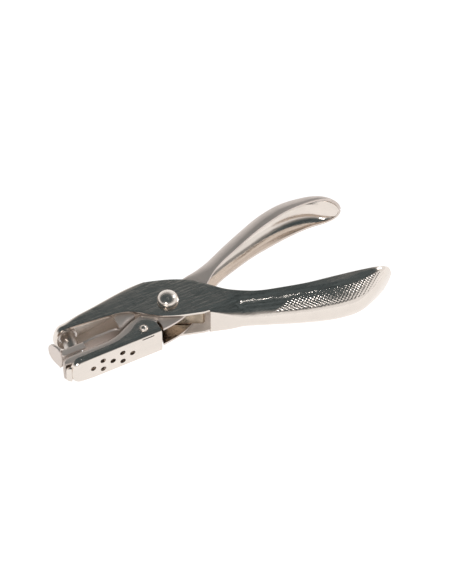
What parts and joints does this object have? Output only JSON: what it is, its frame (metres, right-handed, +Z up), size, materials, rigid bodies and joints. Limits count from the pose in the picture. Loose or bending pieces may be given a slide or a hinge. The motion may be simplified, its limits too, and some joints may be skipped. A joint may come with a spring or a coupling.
{
  "type": "plier hole punch",
  "caption": "Plier-style hand punch: pressed channel levers riveted together, a round punch pin in the nose, a guide plate over the die and a hinged, vented chip catcher.",
  "frame": {"origin": "on the pivot axis, at the flat face of the rivet's tail, on which the tool lies", "axes": "+X from the jaws to the grips, +Y towards the punch lever's side of the jaws, +Z up along the pivot rivet"},
  "size_m": [0.1403, 0.0608, 0.019],
  "materials": {
    "bright_nickel": "polished nickel plate over pressed steel, with fine marks",
    "satin_nickel": "satin nickel plate, slightly warm",
    "rivet_steel": "plated steel, domed by riveting",
    "punch_steel": "ground tool steel with turned marks",
    "spring_steel": "tempered strip, brown-grey"
  },
  "bodies": {
    "die_lever": {"die_lever": "satin_nickel", "guide_plate": "satin_nickel", "guide_rivet": "rivet_steel", "pivot_rivet": "rivet_steel", "pivot_washer": "rivet_steel", "return_spring": "spring_steel", "catcher_pin": "rivet_steel"},
    "punch_lever": {"punch_lever": "bright_nickel", "punch_pin": "punch_steel"},
    "chip_catcher": {"chip_catcher": "bright_nickel"}
  },
  "joints": [
    {"name": "squeeze", "type": "hinge", "parent": "die_lever", "child": "punch_lever", "pos_m": [0, 0, 0.0086], "axis": [0, 0, 1], "range_deg": [0, 8.2], "stiffness_Nm_per_rad": 2.5, "springref_deg": -3.44, "deforming": ["return_spring"]},
    {"name": "catcher_swing", "type": "hinge", "parent": "die_lever", "child": "chip_catcher", "pos_m": [-0.015, -0.0085, 0.0086], "axis": [0, 0, 1], "range_deg": [0, 45]}
  ]
}
